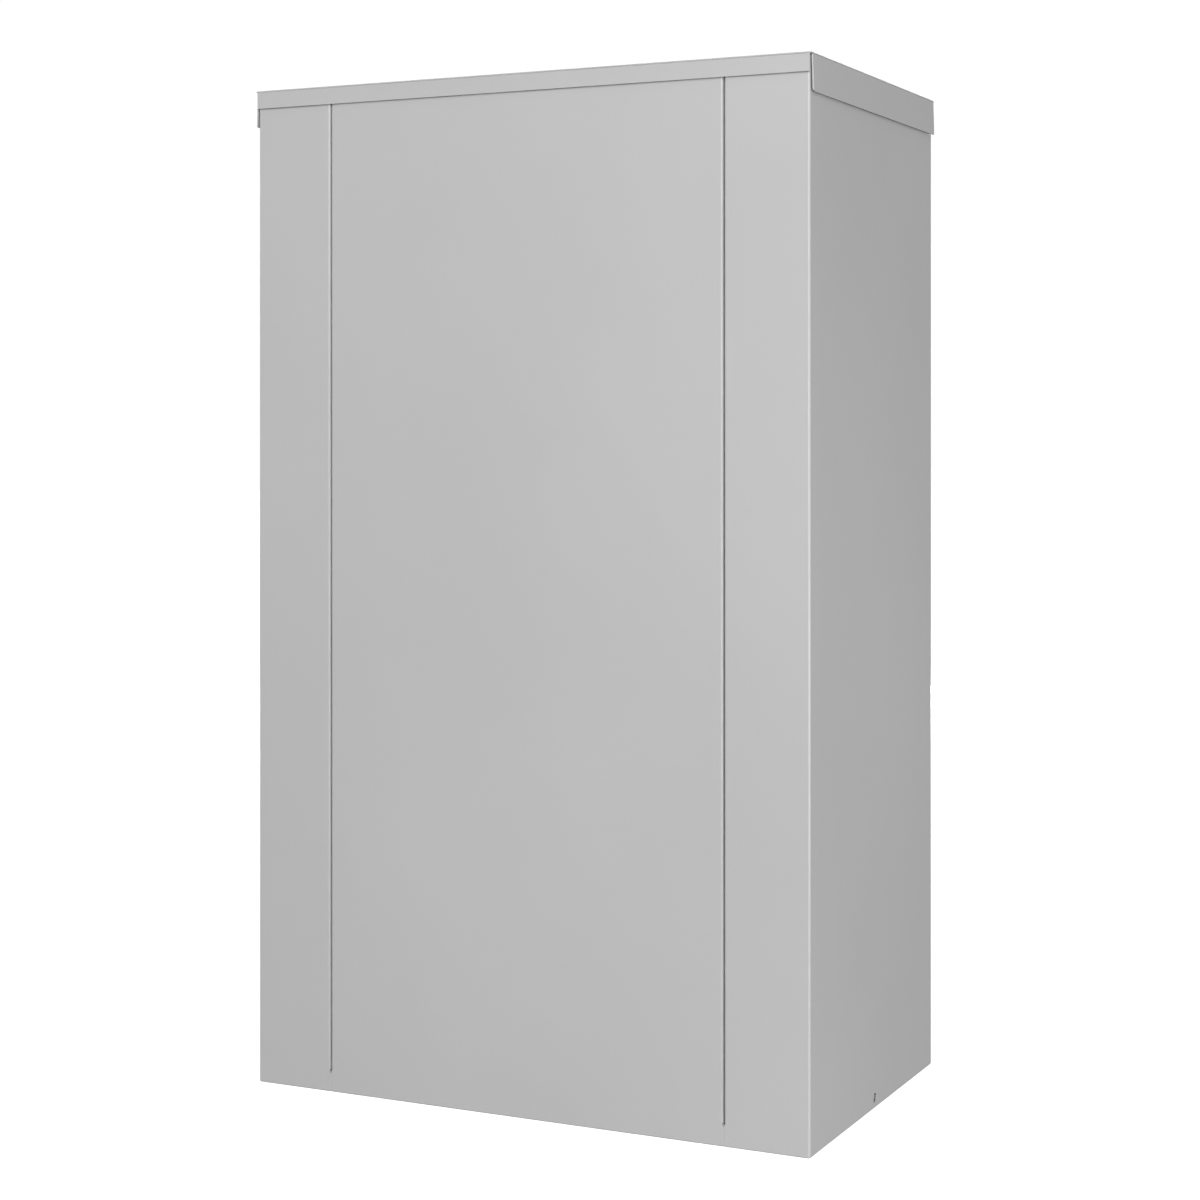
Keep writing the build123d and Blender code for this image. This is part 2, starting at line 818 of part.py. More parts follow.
def mounting_plate():
    plate = block((-plate_x, plate_x), (plate_front, plate_front + plate_thickness), plate_z)
    plate = fillet(plate.edges().filter_by(Axis.Y), plate_corner)
    for x, z in plate_stud_places():
        plate -= rod_y((x, plate_front - 1, z), plate_stud_radius + 0.5, 4)
    for x, z in rail_screw_places():
        plate -= rod_y((x, plate_front - 1, z), screw_hole, 4)
    return plate


def plate_studs():
    """Shouldered studs on the rear panel that hold the mounting plate off it."""
    studs = []
    shoulder = plate_front + plate_thickness
    for x, z in plate_stud_places():
        stud = rod_y((x, shoulder, z), plate_shoulder_radius, half_depth - sheet - shoulder)
        thread_length = plate_stud_reach + 3 * plate_thickness
        studs.append(stud + rod_y((x, plate_front - plate_stud_reach, z), plate_stud_radius, thread_length))
    return together(studs)


def plate_nuts():
    nuts = []
    for x, z in plate_stud_places():
        washer_front = plate_front - plate_washer
        nut = rod_y((x, washer_front, z), plate_washer_radius, plate_washer)
        nut += hexagon_y((x, washer_front - plate_nut, z), plate_nut_flats, plate_nut)
        nuts.append(nut - rod_y((x, plate_front - 9, z), plate_stud_radius + 0.05, 10))
    return together(nuts)


def din_rail(z):
    """Slotted top-hat rail 35 mm high and 7.5 mm deep."""
    lip = rail_face + rail_wall / 2
    base = plate_front - rail_wall / 2
    half_section = [(base, rail_crest), (lip, rail_crest), (lip, rail_height / 2)]
    points = [(y, z - reach) for y, reach in reversed(half_section)]
    points += [(y, z + reach) for y, reach in half_section]
    rail = folded_side(points, -rail_half_length, rail_half_length, radius=0.8, thickness=rail_wall)
    for x, screw_z in rail_screw_places():
        rail -= rod_y((x, base - 3, screw_z), screw_hole, 5)
    slot = extrude(Plane.XZ * SlotOverall(*rail_slot), amount=2, both=True)
    for step in range(rail_slot_count):
        x = (step - (rail_slot_count - 1) / 2) * rail_slot_pitch
        rail -= Pos(x, base, z) * slot
    return rail


def din_rail_screws():
    seat = plate_front - rail_wall
    return together(
        round_head(x, seat, z, 3) + rod_y((x, seat, z), screw_radius, 8) for x, z in rail_screw_places()
    )


# ---------------------------------------------------------------- switchgear
def breaker_section():
    """The side outline of a breaker case, with the pocket that hooks over the rail."""
    shoulder, nose = rail_face - breaker_shoulder, rail_face - breaker_nose
    pocket_half, pocket_depth = rail_pocket
    back = rail_face + pocket_depth
    upper = [
        (nose, nose_half_height), (shoulder, nose_half_height), (shoulder, breaker_half_height),
        (back, breaker_half_height), (back, pocket_half), (rail_face, pocket_half),
    ]
    lower = [(y, -z) for y, z in reversed(upper)]
    return make_face(Polyline(*upper, *lower, close=True))


def pole_centres(x):
    pole = breaker_width / pole_count
    return [x + (step - (pole_count - 1) / 2) * pole for step in range(pole_count)]


def breaker_case(x):
    """A three-pole miniature circuit breaker on the upper rail, centred at x."""
    z = rail_heights["upper"]
    shoulder, nose = rail_face - breaker_shoulder, rail_face - breaker_nose
    half = (breaker_width - breaker_gap) / 2
    case = extrude(Plane.YZ.offset(x - half) * Pos(0, z) * breaker_section(), amount=2 * half, dir=(1, 0, 0))
    window_x, window_z = toggle_window
    window_y = (nose - 1, nose + 2 * toggle_axis)
    case -= block((x - window_x, x + window_x), window_y, (z - window_z, z + window_z))
    case -= rod_x((x - window_x - 1.2, nose + toggle_axis, z), toggle_pivot_radius + 0.05, 2 * window_x + 2.4)
    port_half, port_height = wire_port
    port_y = (shoulder + 14, shoulder + 22)
    for centre in pole_centres(x):
        for sign in (-1, 1):
            screw_z = z + sign * breaker_screw_z
            case -= rod_y((centre, shoulder - 1, screw_z), breaker_screw_radius, 7)
            port_z = sorted((screw_z + sign * 5, screw_z + sign * (5 + port_height)))
            case -= block((centre - port_half, centre + port_half), port_y, port_z)
    for left, right in zip(pole_centres(x), pole_centres(x)[1:]):
        groove = (left + right) / 2
        for sign in (-1, 1):
            groove_z = sorted((z + sign * (window_z + 1), z + sign * (nose_half_height + 0.5)))
            case -= block((groove - 0.4, groove + 0.4), (nose - 1, nose + 0.6), groove_z)
    return case


def breaker_toggle(x):
    """Three levers on one barrel, tied together, leaning down in the off position."""
    axis_y = rail_face - breaker_nose + toggle_axis
    window_x = toggle_window[0]
    barrel_half = window_x - 0.5
    pivot_half = window_x + 0.8
    lever_set = rod_x((-barrel_half, 0, 0), toggle_barrel_radius, 2 * barrel_half)
    lever_set += rod_x((-pivot_half, 0, 0), toggle_pivot_radius, 2 * pivot_half)
    for centre in pole_centres(0):
        lever_set += block((centre - 5, centre + 5), (-toggle_reach, 0), (-2, 2))
    tie_half = window_x - 3
    lever_set += block((-tie_half, tie_half), (-toggle_reach, -toggle_reach + 4), (-2, 2))
    return Pos(x, axis_y, rail_heights["upper"]) * Rot(toggle_swing, 0, 0) * lever_set


def main_breaker_case():
    case = block((-main_x, main_x), (main_case_front, plate_front), main_z)
    case = fillet(case.edges().filter_by(Axis.Y), main_corner)
    case -= block((-12, 12), (main_case_front - 1, 106), (main_axis_z - 24, main_axis_z + 24))
    case -= rod_x((-14, main_axis_y, main_axis_z), main_pivot_radius + 0.05, 28)
    half, height = main_terminal
    for step in (-1, 0, 1):
        x = step * phase_pitch
        for z in ((main_z[0] - 1, main_z[0] + height), (main_z[1] - height, main_z[1] + 1)):
            case -= block((x - half, x + half), (92, 110), z)
    return case


def main_breaker_cover():
    depth = (main_cover_front, main_case_front)
    cover = block((-main_x, main_x), depth, (main_z[0] + main_cover_inset, main_z[1] - main_cover_inset))
    cover = fillet(cover.edges().filter_by(Axis.Y), main_corner)
    half_x, half_z = main_nose
    nose_z = (main_axis_z - half_z, main_axis_z + half_z)
    nose = block((-half_x, half_x), (main_nose_front, main_cover_front), nose_z)
    cover += fillet(nose.edges().filter_by(Axis.Y), main_corner + 1)
    cover = fillet(cover.faces().sort_by(Axis.Y)[0].edges(), 1.5)
    slot_x, slot_z = main_slot
    slot_y = (main_nose_front - 2, main_case_front + 1)
    return cover - block((-slot_x, slot_x), slot_y, (main_axis_z - slot_z, main_axis_z + slot_z))


def main_breaker_toggle():
    """The handle leans down in the off position."""
    half, reach, half_height = main_lever
    handle = rod_x((-half - 2, 0, 0), main_hub_radius, 2 * half + 4)
    handle += rod_x((-13.6, 0, 0), main_pivot_radius, 27.2)
    lever = block((-half, half), (-reach, 0), (-half_height, half_height))
    handle += fillet(lever.edges().filter_by(Axis.Z).sort_by(Axis.Y)[:2], 2.5)
    return Pos(0, main_axis_y, main_axis_z) * Rot(main_swing, 0, 0) * handle


# ---------------------------------------------------------------- busbars
def bar_bolt_places():
    return [(step * phase_pitch, z) for step in (-1, 0, 1) for z in support_heights]


def busbar(step):
    """A flat copper bar from the main breaker down to the outgoing row."""
    x = step * phase_pitch
    bar = block((x - bar_width / 2, x + bar_width / 2), (bar_face, bar_face + bar_thickness), bar_z)
    bar = fillet(bar.edges().filter_by(Axis.Y), 2)
    end_heights = [bar_z[0] + above for above in bar_end_holes]
    for z in (*support_heights, *end_heights):
        bar -= rod_y((x, bar_face - 1, z), bar_hole_radius, bar_thickness + 2)
    return bar


def busbar_supports():
    """Moulded bars across the plate, grooved between the phases."""
    supports = []
    back = bar_face + bar_thickness
    half_x, half_z = support_half
    groove_half, groove_depth = support_groove
    for z in support_heights:
        support = block((-half_x, half_x), (back, plate_front), (z - half_z, z + half_z))
        support = fillet(support.edges().filter_by(Axis.Y), 3)
        for step in (-1, 0, 1):
            support -= rod_y((step * phase_pitch, back - 1, z), bar_hole_radius, 14)
        for x in (-phase_pitch / 2, phase_pitch / 2):
            groove_y = (back - 1, back + groove_depth)
            support -= block((x - groove_half, x + groove_half), groove_y, (z - half_z - 1, z + half_z + 1))
        supports.append(support)
    return together(supports)


def busbar_bolts():
    bolts = []
    for x, z in bar_bolt_places():
        bolt = hexagon_y((x, bar_face - 5.5, z), 10, 4) + rod_y((x, bar_face - 1.5, z), 6.5, 1.5)
        bolts.append(bolt + rod_y((x, bar_face, z), 3, 15))
    return together(bolts)


# ---------------------------------------------------------------- neutral and earth bars, terminals, ducts
def brass_bar(name):
    half = earth_bar_half
    front = bar_back - earth_bar_thickness
    bar = block(earth_bars[name], (front, bar_back), (earth_bar_z - half, earth_bar_z + half))
    for x in bar_screw_columns(name):
        bar -= rod_y((x, front - 1, earth_bar_z), 2.1, 5)
        bar -= rod_z((x, bar_back - earth_bar_thickness / 2, earth_bar_z - half - 1), 2.4, 2 * half + 2)
    return bar


def bar_screw_columns(name):
    low, high = earth_bars[name]
    pitch = (high - low - 2 * bar_screw_margin) / (bar_screw_count - 1)
    return [low + bar_screw_margin + pitch * step for step in range(bar_screw_count)]


def bar_screws():
    screws = []
    front = bar_back - earth_bar_thickness
    for name in earth_bars:
        for x in bar_screw_columns(name):
            head = rod_y((x, front - 2.5, earth_bar_z), 3.4, 2.5)
            head -= block((x - 0.4, x + 0.4), (front - 3, front - 1.5), (earth_bar_z - 4, earth_bar_z + 4))
            screws.append(head + rod_y((x, front, earth_bar_z), 2, 1.5))
    return together(screws)


def bar_insulators():
    """Ribbed posts under the two ends of each bar."""
    posts = []
    for low, high in earth_bars.values():
        for x in (low + 8, high - 8):
            post = rod_y((x, bar_back, earth_bar_z), post_radius, plate_front - bar_back)
            for step in range(3):
                post += rod_y((x, bar_back + 3 + 6 * step, earth_bar_z), post_radius + post_rib, 2.5)
            posts.append(post)
    return together(posts)


def terminal_blocks():
    z = rail_heights["lower"]
    back = rail_face + 3
    pocket_half = rail_pocket[0]
    shoulder_y, shoulder_z = terminal_shoulder
    nose_y, nose_z = terminal_nose
    upper = [
        (rail_face - nose_y, nose_z), (rail_face - shoulder_y, shoulder_z), (back, shoulder_z),
        (back, pocket_half), (rail_face, pocket_half),
    ]
    lower = [(y, -reach) for y, reach in reversed(upper)]
    section = make_face(Polyline(*upper, *lower, close=True))
    width = terminal_pitch - terminal_gap
    blocks = []
    for step in range(terminal_count):
        low = (step - terminal_count / 2) * terminal_pitch + terminal_gap / 2
        piece = extrude(Plane.YZ.offset(low) * Pos(0, z) * section, amount=width, dir=(1, 0, 0))
        for dz in (-terminal_screw_z, terminal_screw_z):
            start = (low + width / 2, rail_face - nose_y - 1, z + dz)
            piece -= rod_y(start, terminal_screw_radius, 8)
        blocks.append(piece)
    return together(blocks)


def duct(side):
    """A slotted cable duct, open towards the door."""
    x = sorted((side * duct_x[0], side * duct_x[1]))
    front = plate_front - duct_depth
    channel = block(x, (front, plate_front), duct_z)
    inner = (x[0] + duct_wall, x[1] - duct_wall)
    channel -= block(inner, (front - 1, plate_front - duct_wall), (duct_z[0] - 1, duct_z[1] + 1))
    slot_y = (front + duct_rim, plate_front - duct_slot_margin)
    slots = []
    count = int((duct_z[1] - duct_z[0] - 20) / duct_slot_pitch)
    for step in range(count):
        low = duct_z[0] + duct_slot_margin + step * duct_slot_pitch
        slots.append(block((x[0] - 1, x[1] + 1), slot_y, (low, low + duct_slot)))
    return channel - together(slots)


def duct_covers():
    """Snap-on covers whose short legs sit outside the duct walls."""
    covers = []
    front = plate_front - duct_depth
    for side in (-1, 1):
        x = sorted((side * duct_x[0], side * duct_x[1]))
        outer = (x[0] - duct_wall - 0.1, x[1] + duct_wall + 0.1)
        cover = block(outer, (front - duct_wall, front + 6), duct_z)
        cover -= block((x[0] - 0.1, x[1] + 0.1), (front, front + 7), (duct_z[0] - 1, duct_z[1] + 1))
        covers.append(cover)
    return together(covers)


# ---------------------------------------------------------------- every node, by name
def build_nodes():
    nodes = {
        **side_nodes(),
        "rear_panel": rear_panel(),
        "bottom_seam_welds": bottom_seam_welds(),
        "seam_rivets": seam_rivets(),
        "bottom_front_rail": bottom_front_rail(),
        "top_front_rail": top_front_rail(),
        "floor_pan": floor_pan(),
        "gland_gasket": gland_gasket(),
        "gland_plate": gland_plate(),
        "gland_plate_screws": gland_plate_screws(),
        "cable_entry_plugs": cable_entry_plugs(),
        "lid": lid(),
        "lid_fasteners": together([lid_studs(), lid_nuts()]),
        "door_panel": door_panel(),
        "door_stiffeners": door_stiffeners(),
        "door_gasket": door_gasket(),
        "document_pocket": document_pocket(),
        "hinge_frame_leaves": hinge_frame_leaves(),
        "hinge_door_leaves": hinge_door_leaves(),
        "hinge_pins": hinge_pins(),
        "hinge_frame_screws": leaf_screws(-1),
        "hinge_door_screws": leaf_screws(1),
        "lock_housings": lock_housings(),
        "lock_nuts": lock_nuts(),
        "mounting_plate": mounting_plate(),
        "plate_fasteners": together([plate_studs(), plate_nuts()]),
        "din_rail_screws": din_rail_screws(),
        "main_breaker_case": main_breaker_case(),
        "main_breaker_cover": main_breaker_cover(),
        "main_breaker_toggle": main_breaker_toggle(),
        "busbar_supports": busbar_supports(),
        "busbar_bolts": busbar_bolts(),
        "neutral_bar": brass_bar("neutral"),
        "earth_bar": brass_bar("earth"),
        "bar_screws": bar_screws(),
        "bar_insulators": bar_insulators(),
        "terminal_blocks": terminal_blocks(),
        "duct_left": duct(-1),
        "duct_right": duct(1),
        "duct_covers": duct_covers(),
    }
    for name, z in lock_heights.items():
        nodes[f"{name}_lock_barrel"] = lock_barrel(z)
        nodes[f"{name}_lock_cam"] = lock_cam(z)
    for name, z in rail_heights.items():
        nodes[f"din_rail_{name}"] = din_rail(z)
    for number, step in enumerate((-1, 0, 1), start=1):
        nodes[f"busbar_{number}"] = busbar(step)
    for number in range(1, breaker_count + 1):
        x = (number - (breaker_count + 1) / 2) * breaker_width
        nodes[f"breaker_{number}"] = breaker_case(x)
        nodes[f"breaker_{number}_toggle"] = breaker_toggle(x)
    return nodes


for node, shape in build_nodes().items():
    export_step(shape, f"parts/{node}.step")
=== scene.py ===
"""Looks of the industrial switchboard cabinet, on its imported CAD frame. Metres, +Z up, door towards -Y."""
import json
import math

import bmesh
import bpy
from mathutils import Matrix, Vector
from mathutils.bvhtree import BVHTree
from mathutils.kdtree import KDTree

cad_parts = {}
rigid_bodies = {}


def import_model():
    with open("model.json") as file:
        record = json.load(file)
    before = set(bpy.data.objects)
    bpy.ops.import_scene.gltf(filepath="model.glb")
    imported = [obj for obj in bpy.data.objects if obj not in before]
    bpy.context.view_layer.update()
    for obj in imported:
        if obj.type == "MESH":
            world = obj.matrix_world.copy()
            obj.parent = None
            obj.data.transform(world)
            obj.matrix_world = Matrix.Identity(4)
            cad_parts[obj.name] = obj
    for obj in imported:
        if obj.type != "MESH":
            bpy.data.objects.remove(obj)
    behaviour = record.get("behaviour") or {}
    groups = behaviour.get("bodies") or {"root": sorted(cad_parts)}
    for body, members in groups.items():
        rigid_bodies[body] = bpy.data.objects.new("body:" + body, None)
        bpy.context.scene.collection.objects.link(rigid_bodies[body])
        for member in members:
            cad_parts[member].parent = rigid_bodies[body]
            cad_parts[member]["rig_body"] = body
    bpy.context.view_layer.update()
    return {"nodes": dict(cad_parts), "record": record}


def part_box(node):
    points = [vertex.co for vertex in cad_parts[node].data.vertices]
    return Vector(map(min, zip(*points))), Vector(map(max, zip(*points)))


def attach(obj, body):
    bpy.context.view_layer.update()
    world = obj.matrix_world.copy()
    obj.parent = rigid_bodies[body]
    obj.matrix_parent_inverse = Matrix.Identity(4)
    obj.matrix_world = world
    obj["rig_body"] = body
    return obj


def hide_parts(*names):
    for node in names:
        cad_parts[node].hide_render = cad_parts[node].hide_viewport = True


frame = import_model()
nodes = frame["nodes"]
scene = bpy.context.scene
slot_of = {entry["node"]: entry["material_slot"] for entry in frame["record"]["subparts"]}
MM = 0.001


# ---------------------------------------------------------------- node-tree helpers
def set_inputs(node, values):
    """Sets constants on a shader node's sockets, by name."""
    for key, value in values.items():
        node.inputs[key].default_value = value


def add_node(tree, kind, inputs=None, **settings):
    """A new shader node with its options and constants set."""
    node = tree.nodes.new(kind)
    for key, value in settings.items():
        setattr(node, key, value)
    set_inputs(node, inputs or {})
    return node


class Finish:
    """A principled material with the texture steps that the finishes below share."""

    def __init__(self, name, **inputs):
        self.material = bpy.data.materials.new(name)
        self.material.use_nodes = True
        self.tree = self.material.node_tree
        self.shader = self.tree.nodes["Principled BSDF"]
        set_inputs(self.shader, inputs)
        coordinates = self.tree.nodes.new("ShaderNodeTexCoord")
        self.place = coordinates.outputs["Object"]
        self.normal = coordinates.outputs["Normal"]

    def link(self, source, target):
        self.tree.links.new(source, target)

    def stretched(self, scale):
        """The place, scaled on each axis, for brushed and drawn surfaces."""
        mapping = add_node(self.tree, "ShaderNodeMapping", {"Scale": scale})
        self.link(self.place, mapping.inputs["Vector"])
        return mapping.outputs["Vector"]

    def noise(self, scale, detail=3.0, roughness=0.5, place=None):
        """Cloudy values from 0 to 1, scale cells to the metre."""
        texture = add_node(self.tree, "ShaderNodeTexNoise",
                           {"Scale": scale, "Detail": detail, "Roughness": roughness})
        self.link(place or self.place, texture.inputs["Vector"])
        return texture.outputs["Fac"]

    def cells(self, scale, output="Distance"):
        """A cell pattern: the distance to each cell's point, or a colour for each cell."""
        texture = add_node(self.tree, "ShaderNodeTexVoronoi", {"Scale": scale}, feature="F1")
        self.link(self.place, texture.inputs["Vector"])
        return texture.outputs[output]

    def spread(self, value, low, high, start=0.0, stop=1.0):
        """Maps a texture value to a range."""
        node = add_node(self.tree, "ShaderNodeMapRange",
                        {"From Min": start, "From Max": stop, "To Min": low, "To Max": high})
        self.link(value, node.inputs["Value"])
        return node.outputs["Result"]

    def upward(self, vector):
        """The Z part of a place or a normal."""
        parts = self.tree.nodes.new("ShaderNodeSeparateXYZ")
        self.link(vector, parts.inputs["Vector"])
        return parts.outputs["Z"]

    def painted_underside_shade(self):
        """Mask for painted shade: 1 on down-facing surfaces above the base, 0 on upright and upper ones."""
        both = add_node(self.tree, "ShaderNodeMath", operation="MULTIPLY")
        self.link(self.spread(self.upward(self.normal), 1, 0, -0.85, -0.25), both.inputs[0])
        self.link(self.spread(self.upward(self.place), 0, 1, 0.004, 0.012), both.inputs[1])
        return both.outputs["Value"]

    def mix(self, factor, first, second):
        """A colour between two colours or colour sockets."""
        node = add_node(self.tree, "ShaderNodeMix", data_type="RGBA")
        self.link(factor, node.inputs["Factor"])
        for index, colour in ((6, first), (7, second)):
            if isinstance(colour, tuple):
                node.inputs[index].default_value = (*colour, 1.0)
            else:
                self.link(colour, node.inputs[index])
        return node.outputs[2]

    def colour(self, socket):
        self.link(socket, self.shader.inputs["Base Color"])

    def rough(self, socket):
        self.link(socket, self.shader.inputs["Roughness"])

    def bumps(self, *layers):
        """Height layers, each a (socket, distance) pair, added one on top of the other."""
        normal = None
        for height, distance in layers:
            bump = add_node(self.tree, "ShaderNodeBump", {"Strength": 1.0, "Distance": distance})
            self.link(height, bump.inputs["Height"])
            if normal:
                self.link(normal, bump.inputs["Normal"])
            normal = bump.outputs["Normal"]
        self.link(normal, self.shader.inputs["Normal"])


# ---------------------------------------------------------------- finishes
def painted_steel():
    """Satin powder coat: slight orange peel and uneven gloss, with painted shade that turns down-facing
    surfaces and lower edges above the base near black.
    """
    f = Finish("powder_coat", **{"Specular IOR Level": 0.5})
    cloud = f.noise(3.0, 4.0)
    fine = f.noise(160.0, 3.0)
    base = f.mix(f.spread(cloud, 0, 1, 0.35, 0.65), (0.588, 0.588, 0.588), (0.612, 0.612, 0.612))
    speck = f.spread(f.noise(2600.0, 2.0), 0, 1, 0.64, 0.74)
    coat = f.mix(f.spread(speck, 0, 0.35), base, (0.50, 0.50, 0.50))
    # Painted shade: down-facing surfaces above the base are mixed to near black, standing in for the shadow
    # lines under flanges and edges.
    f.colour(f.mix(f.painted_underside_shade(), coat, (0.10, 0.10, 0.10)))
    f.rough(f.spread(fine, 0.27, 0.39))
    f.bumps((f.noise(420.0, 2.0), 0.00006), (f.noise(1500.0, 2.0), 0.00002))
    return f.material


def galvanised_steel():
    """Zinc spangle: flat crystals of different brightness, with soft rub marks."""
    f = Finish("galvanised", **{"Metallic": 1.0})
    crystals = f.cells(60.0, output="Color")
    grey = add_node(f.tree, "ShaderNodeRGBToBW")
    f.link(crystals, grey.inputs["Color"])
    facet = f.spread(grey.outputs["Val"], 0, 1)
    stain = f.noise(9.0, 5.0)
    tone = f.mix(facet, (0.43, 0.45, 0.47), (0.64, 0.66, 0.68))
    f.colour(f.mix(f.spread(stain, 0, 0.5, 0.5, 0.75), tone, (0.42, 0.43, 0.44)))
    f.rough(f.spread(facet, 0.38, 0.56))
    f.bumps((facet, 0.00003), (f.noise(900.0, 2.0), 0.00002))
    return f.material


def zinc_steel():
    f = Finish("zinc_plate", **{"Metallic": 1.0})
    patch = f.noise(220.0, 4.0)
    f.colour(f.mix(f.spread(patch, 0, 1, 0.35, 0.7), (0.66, 0.66, 0.63), (0.52, 0.53, 0.53)))
    f.rough(f.spread(f.noise(900.0, 3.0), 0.24, 0.42))
    f.bumps((f.noise(1600.0, 2.0), 0.00002),)
    return f.material


def die_cast():
    f = Finish("nickel_plate", **{"Metallic": 1.0})
    f.colour(f.mix(f.noise(180.0, 3.0), (0.62, 0.61, 0.59), (0.72, 0.71, 0.69)))
    f.rough(f.spread(f.noise(500.0, 4.0), 0.22, 0.38))
    f.bumps((f.noise(700.0, 3.0), 0.00003),)
    return f.material


def copper():
    """Drawn bar: lengthwise lines and darker, oxidised patches."""
    f = Finish("copper_bar", **{"Metallic": 1.0})
    lines = f.noise(1.0, 3.0, place=f.stretched((900.0, 900.0, 14.0)))
    patches = f.spread(f.noise(38.0, 5.0), 0, 1, 0.45, 0.72)
    f.colour(f.mix(patches, (0.86, 0.46, 0.30), (0.52, 0.22, 0.13)))
    f.rough(f.spread(lines, 0.26, 0.46))
    f.bumps((lines, 0.00002),)
    return f.material


def brass():
    f = Finish("brass_bar", **{"Metallic": 1.0})
    lines = f.noise(1.0, 3.0, place=f.stretched((16.0, 900.0, 900.0)))
    f.colour(f.mix(f.spread(f.noise(60.0, 4.0), 0, 1, 0.4, 0.7), (0.76, 0.56, 0.24), (0.50, 0.34, 0.13)))
    f.rough(f.spread(lines, 0.22, 0.40))
    f.bumps((lines, 0.00002),)
    return f.material


def moulded(name, light, dark, rough=(0.36, 0.50), grain=1400.0, depth=0.00003, specular=0.4):
    """Spark-eroded plastic: fine even grain with slow changes of tone."""
    f = Finish(name, **{"Specular IOR Level": specular})
    f.colour(f.mix(f.spread(f.noise(24.0, 3.0), 0, 1, 0.3, 0.7), light, dark))
    f.rough(f.spread(f.noise(grain / 3, 2.0), *rough))
    f.bumps((f.noise(grain, 2.0), depth),)
    return f.material


def extruded_plastic():
    """Extruded PVC: die lines that run along the profile."""
    f = Finish("extruded_pvc", **{"Specular IOR Level": 0.35})
    lines = f.noise(1.0, 3.0, place=f.stretched((700.0, 700.0, 3.0)))
    f.colour(f.mix(f.noise(12.0, 3.0), (0.37, 0.39, 0.40), (0.42, 0.44, 0.45)))
    f.rough(f.spread(lines, 0.34, 0.52))
    f.bumps((lines, 0.00003),)
    return f.material


def foam():
    """Closed-cell foam: a skin of small pits."""
    f = Finish("foam_strip", **{"Roughness": 0.92, "Specular IOR Level": 0.2})
    pits = f.cells(1300.0)
    f.colour(f.mix(f.spread(pits, 0, 1, 0.0, 0.7), (0.018, 0.018, 0.019), (0.040, 0.040, 0.042)))
    f.bumps((f.spread(pits, 1, 0), 0.0002),)
    return f.material


def insulator():
    """Glass-filled polyester: speckled brown-red."""
    f = Finish("polyester_moulding", **{"Specular IOR Level": 0.45})
    fibres = f.noise(1.0, 4.0, place=f.stretched((260.0, 700.0, 420.0)))
    f.colour(f.mix(f.spread(fibres, 0, 1, 0.45, 0.7), (0.30, 0.035, 0.018), (0.42, 0.09, 0.05)))
    f.rough(f.spread(fibres, 0.32, 0.5))
    f.bumps((fibres, 0.00005),)
    return f.material


FINISHES = {
    "painted_steel": painted_steel(),
    "galvanised_steel": galvanised_steel(),
    "zinc_steel": zinc_steel(),
    "foam_gasket": foam(),
    "rubber": moulded("moulded_rubber", (0.030, 0.030, 0.032), (0.045, 0.045, 0.048),
                      rough=(0.60, 0.78), grain=900.0, depth=0.00005, specular=0.3),
    "die_cast": die_cast(),
    "case_plastic": moulded("breaker_case", (0.60, 0.61, 0.60), (0.55, 0.56, 0.55)),
    "handle_plastic": moulded("breaker_handle", (0.012, 0.012, 0.014), (0.022, 0.022, 0.024),
                              rough=(0.30, 0.44)),
    "duct_plastic": extruded_plastic(),
    "pocket_plastic": moulded("pocket_moulding", (0.58, 0.60, 0.60), (0.53, 0.55, 0.55),
                              rough=(0.28, 0.42), grain=700.0),
    "insulator": insulator(),
    "copper": copper(),
    "brass": brass(),
    "terminal_plastic": moulded("terminal_moulding", (0.33, 0.34, 0.34), (0.28, 0.29, 0.29)),
}


# ---------------------------------------------------------------- finished copies of CAD nodes
SMOOTH_ANGLE = 32           # degrees: a sharper fold between faces stays a crisp line
EDGE_ANGLE = 34             # degrees: edges sharper than this are rounded
FLAT_ANGLE = 0.6            # degrees: triangles nearer to one plane than this are one face
SAME_PLACE = 1e-6           # metres
MEETING_REACH = 0.3 * MM    # faces that meet have their centres this close together
OFF_SURFACE = 0.6           # a rounded corner this many widths off the surface went astray


def flat_faces(mesh):
    """A mesh with its triangles merged into whole flat faces."""
    bm = bmesh.new()
    bm.from_mesh(mesh)
    merge_flat(bm)
    return bm


def merge_flat(bm):
    """Joins vertices at the same place and turns flat groups of triangles into single faces."""
    bmesh.ops.remove_doubles(bm, verts=bm.verts, dist=SAME_PLACE)
    bmesh.ops.dissolve_limit(bm, angle_limit=math.radians(FLAT_ANGLE), verts=bm.verts, edges=bm.edges)


def joined(names):
    """The surfaces of nodes that are one sheet in the real cabinet, without the faces where they meet."""
    whole = bmesh.new()
    for name in names:
        part = flat_faces(nodes[name].data)
        mesh = bpy.data.meshes.new(name + "_flat")
        part.to_mesh(mesh)
        part.free()
        whole.from_mesh(mesh)
    bmesh.ops.delete(whole, geom=meeting_faces(whole), context="FACES_ONLY")
    bmesh.ops.delete(whole, geom=[edge for edge in whole.edges if not edge.link_faces], context="EDGES")
    merge_flat(whole)
    return whole


def meeting_faces(bm):
    """Faces that lie on each other, back to back."""
    bm.faces.ensure_lookup_table()
    centres = KDTree(len(bm.faces))
    for face in bm.faces:
        centres.insert(face.calc_center_median_weighted(), face.index)
    centres.balance()
    found = []
    for face in bm.faces:
        area = face.calc_area()
        for _, index, _ in centres.find_range(face.calc_center_median_weighted(), MEETING_REACH):
            other = bm.faces[index]
            if face.normal.dot(other.normal) < -0.99 and abs(other.calc_area() - area) < 0.03 * area:
                found.append(face)
                break
    return found


